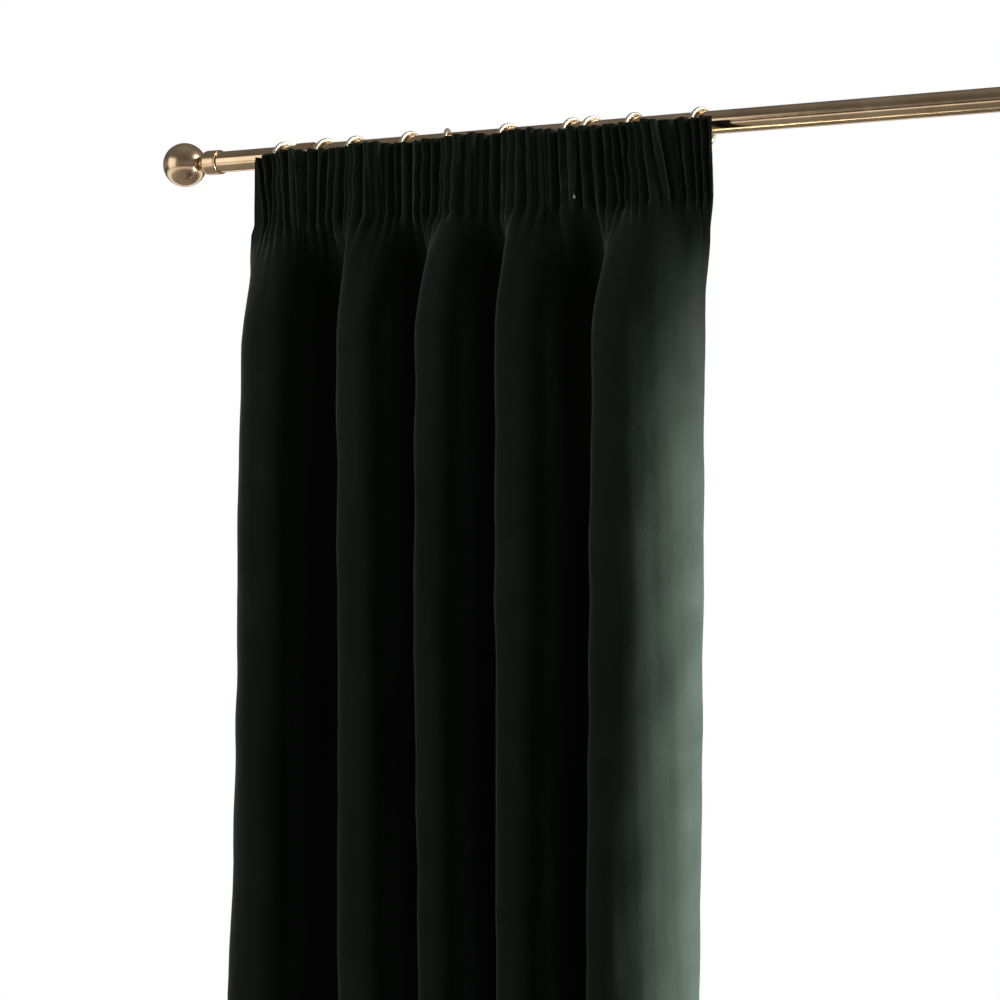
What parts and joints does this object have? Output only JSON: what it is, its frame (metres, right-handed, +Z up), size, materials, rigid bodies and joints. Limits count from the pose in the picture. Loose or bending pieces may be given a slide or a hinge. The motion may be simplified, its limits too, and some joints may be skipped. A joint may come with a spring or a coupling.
{
  "type": "window curtain on a pole",
  "caption": "Lined velvet curtain with a pencil-pleat heading, hung by metal rings on a round pole with ball finials and wall brackets; it draws along the pole.",
  "frame": {"origin": "centre of the left wall plate's back face, on the wall", "axes": "+X along the pole to the right as seen from the room, +Y into the wall, +Z up"},
  "size_m": [1.641, 0.224, 1.8573],
  "materials": {
    "pole": "polished antique brass plate",
    "finial": "polished antique brass plate",
    "bracket": "satin antique brass plate",
    "ring": "polished antique brass plate",
    "screw": "darkened steel",
    "velvet": "short-pile cotton velvet, very dark bottle green",
    "lining": "cotton sateen lining, ivory",
    "tape": "woven pencil-pleat heading tape",
    "draw_cord": "braided polyester cord",
    "hook": "moulded nylon"
  },
  "bodies": {
    "rail": {"pole_tube": "pole", "left_wall_plate": "bracket", "left_bracket_arm": "bracket", "left_bracket_cup": "bracket", "left_pole_lock_screw": "screw", "left_wall_screw_upper": "screw", "left_wall_screw_lower": "screw", "right_wall_plate": "bracket", "right_bracket_arm": "bracket", "right_bracket_cup": "bracket", "right_pole_lock_screw": "screw", "right_wall_screw_upper": "screw", "right_wall_screw_lower": "screw", "ring_01": "ring", "eyelet_01": "ring", "hook_01": "hook"},
    "runner_02": {"ring_02": "ring", "eyelet_02": "ring", "hook_02": "hook"},
    "runner_03": {"ring_03": "ring", "eyelet_03": "ring", "hook_03": "hook"},
    "runner_04": {"ring_04": "ring", "eyelet_04": "ring", "hook_04": "hook"},
    "runner_05": {"ring_05": "ring", "eyelet_05": "ring", "hook_05": "hook"},
    "runner_06": {"ring_06": "ring", "eyelet_06": "ring", "hook_06": "hook"},
    "runner_07": {"ring_07": "ring", "eyelet_07": "ring", "hook_07": "hook"},
    "runner_08": {"ring_08": "ring", "eyelet_08": "ring", "hook_08": "hook"},
    "runner_09": {"ring_09": "ring", "eyelet_09": "ring", "hook_09": "hook"},
    "leading_edge": {"ring_10": "ring", "eyelet_10": "ring", "hook_10": "hook", "curtain_face": "velvet", "curtain_lining": "lining", "heading_tape": "tape", "hook_pocket_strip": "tape", "draw_cord_upper": "draw_cord", "draw_cord_lower": "draw_cord"},
    "left_finial": {"left_finial_ball": "finial", "left_finial_collar": "finial", "left_finial_grub_screw": "screw"},
    "right_finial": {"right_finial_ball": "finial", "right_finial_collar": "finial", "right_finial_grub_screw": "screw"}
  },
  "joints": [
    {"name": "curtain_draw", "type": "slide", "parent": "rail", "child": "leading_edge", "axis": [1, 0, 0], "range_m": [-0.26, 0.17], "deforming": ["curtain_face", "curtain_lining", "heading_tape", "hook_pocket_strip", "draw_cord_upper", "draw_cord_lower"]},
    {"name": "ring_02_slide", "type": "slide", "parent": "rail", "child": "runner_02", "axis": [1, 0, 0], "range_m": [-0.009, 0.006]},
    {"name": "ring_03_slide", "type": "slide", "parent": "rail", "child": "runner_03", "axis": [1, 0, 0], "range_m": [-0.0242, 0.0159]},
    {"name": "ring_04_slide", "type": "slide", "parent": "rail", "child": "runner_04", "axis": [1, 0, 0], "range_m": [-0.0647, 0.0424]},
    {"name": "ring_05_slide", "type": "slide", "parent": "rail", "child": "runner_05", "axis": [1, 0, 0], "range_m": [-0.0969, 0.0634]},
    {"name": "ring_06_slide", "type": "slide", "parent": "rail", "child": "runner_06", "axis": [1, 0, 0], "range_m": [-0.1552, 0.1016]},
    {"name": "ring_07_slide", "type": "slide", "parent": "rail", "child": "runner_07", "axis": [1, 0, 0], "range_m": [-0.2084, 0.1363]},
    {"name": "ring_08_slide", "type": "slide", "parent": "rail", "child": "runner_08", "axis": [1, 0, 0], "range_m": [-0.2221, 0.1453]},
    {"name": "ring_09_slide", "type": "slide", "parent": "rail", "child": "runner_09", "axis": [1, 0, 0], "range_m": [-0.2452, 0.1604]},
    {"name": "left_finial_pull", "type": "slide", "parent": "rail", "child": "left_finial", "axis": [-1, 0, 0], "range_m": [0, 0.03]},
    {"name": "right_finial_pull", "type": "slide", "parent": "rail", "child": "right_finial", "axis": [1, 0, 0], "range_m": [0, 0.03]}
  ],
  "couplings": [
    {"joint": "ring_02_slide", "follows": "curtain_draw", "ratio": 0.03396},
    {"joint": "ring_03_slide", "follows": "curtain_draw", "ratio": 0.09238},
    {"joint": "ring_04_slide", "follows": "curtain_draw", "ratio": 0.24816},
    {"joint": "ring_05_slide", "follows": "curtain_draw", "ratio": 0.37189},
    {"joint": "ring_06_slide", "follows": "curtain_draw", "ratio": 0.5962},
    {"joint": "ring_07_slide", "follows": "curtain_draw", "ratio": 0.80087},
    {"joint": "ring_08_slide", "follows": "curtain_draw", "ratio": 0.85353},
    {"joint": "ring_09_slide", "follows": "curtain_draw", "ratio": 0.94248}
  ]
}
